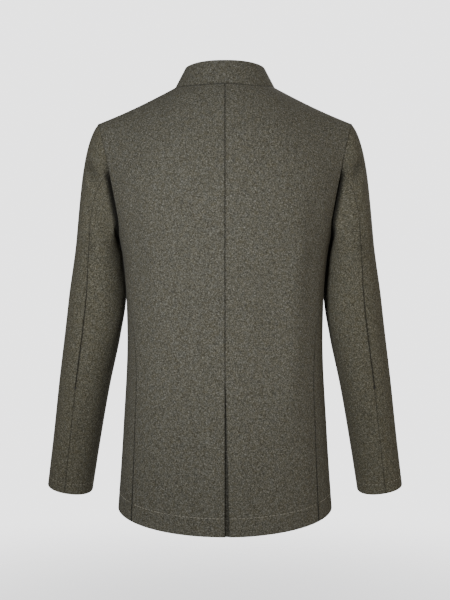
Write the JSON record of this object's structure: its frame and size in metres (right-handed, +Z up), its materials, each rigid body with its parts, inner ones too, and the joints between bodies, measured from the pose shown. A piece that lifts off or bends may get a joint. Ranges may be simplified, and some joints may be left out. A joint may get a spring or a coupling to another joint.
{
  "type": "mao jacket",
  "caption": "Stand-collar wool jacket filled out as if worn, with a buttoned front, set-in sleeves, a centre back seam and an open back vent.",
  "frame": {"origin": "the middle of the neck opening, level with the neck ends of the shoulder seams, where the jacket hangs from a neck and shoulders", "axes": "+Z up along the body, -Y towards the buttoned front, +X towards the wearer's left"},
  "size_m": [0.661, 0.2853, 0.8307],
  "materials": {
    "wool": "napped melange wool, matt",
    "wool_underlap": "the same wool, in the shade of the vent",
    "button": "dark horn look, satin"
  },
  "bodies": {
    "root": {"back_left": "wool", "back_right": "wool", "side_left": "wool", "side_right": "wool", "front_left": "wool", "front_right": "wool", "upper_sleeve_left": "wool", "upper_sleeve_right": "wool", "under_sleeve_left": "wool", "under_sleeve_right": "wool", "collar": "wool", "vent_underlap": "wool_underlap", "button_1": "button", "button_2": "button", "button_3": "button", "button_4": "button", "button_5": "button"}
  },
  "joints": []
}
